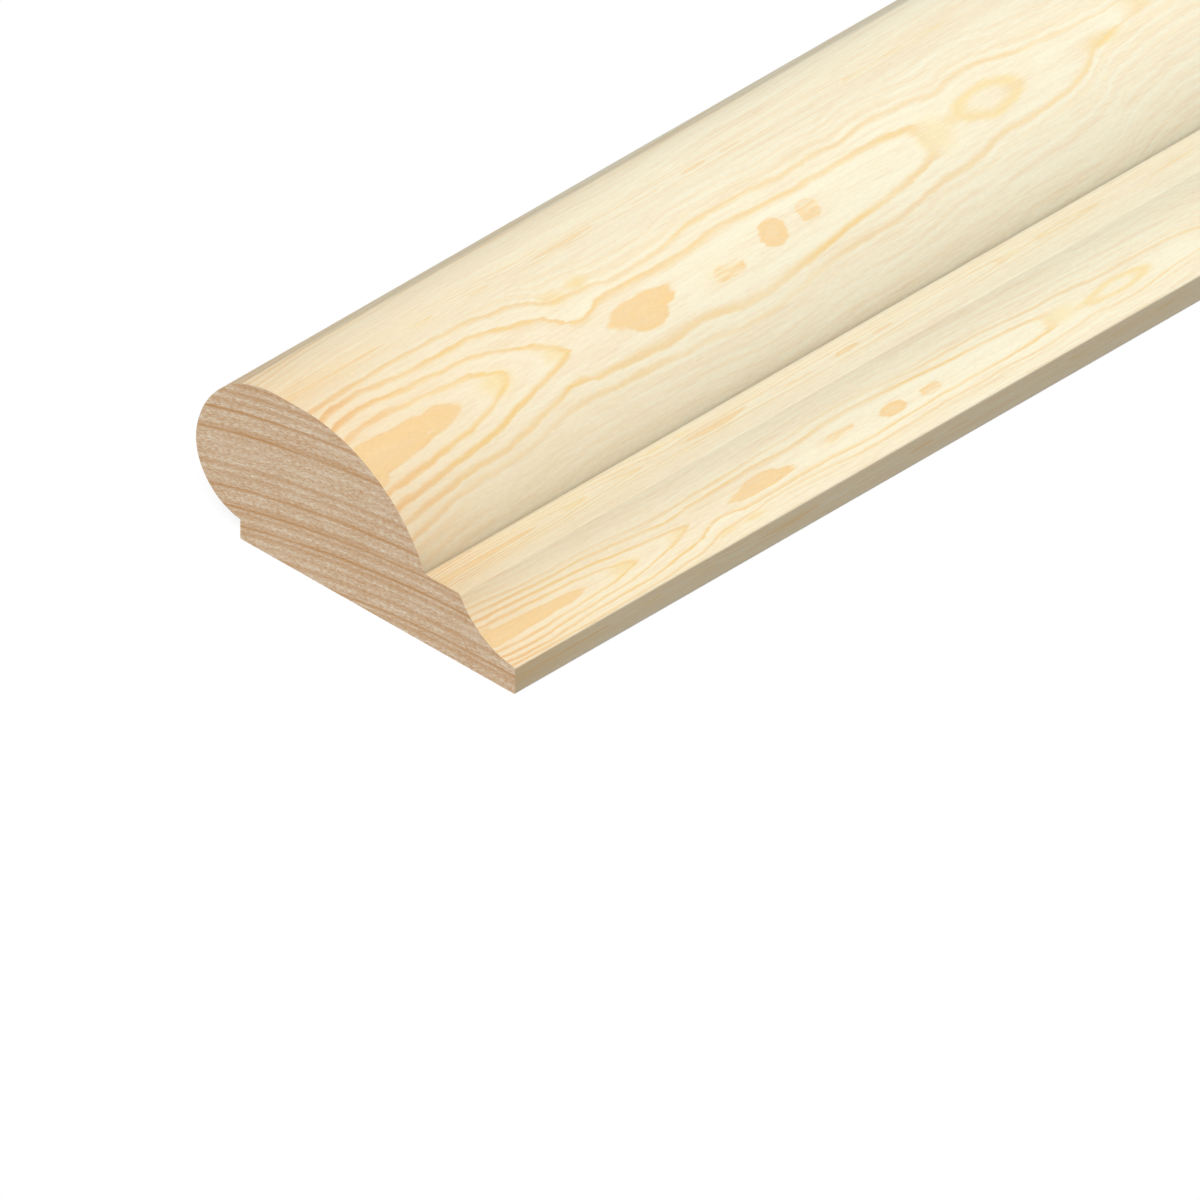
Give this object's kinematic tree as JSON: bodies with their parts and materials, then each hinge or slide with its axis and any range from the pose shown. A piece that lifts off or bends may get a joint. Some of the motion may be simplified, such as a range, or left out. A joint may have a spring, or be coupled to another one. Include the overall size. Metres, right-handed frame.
{
  "type": "picture rail",
  "caption": "Softwood picture rail moulding with a rounded overhanging hook lip, a bead, a narrow fillet and a cove running down to a thin lower edge.",
  "frame": {"origin": "middle of the rail's footprint, on the plane of its flat back", "axes": "+X across the rail, from the hook lip (the upper edge on the wall) to the thin lower edge; +Y along the rail's length; +Z out from the wall, through the rail's thickness"},
  "size_m": [0.045, 2.4, 0.02],
  "materials": {
    "pine": "planed, unfinished"
  },
  "bodies": {
    "root": {"picture_rail": "pine"}
  },
  "joints": []
}
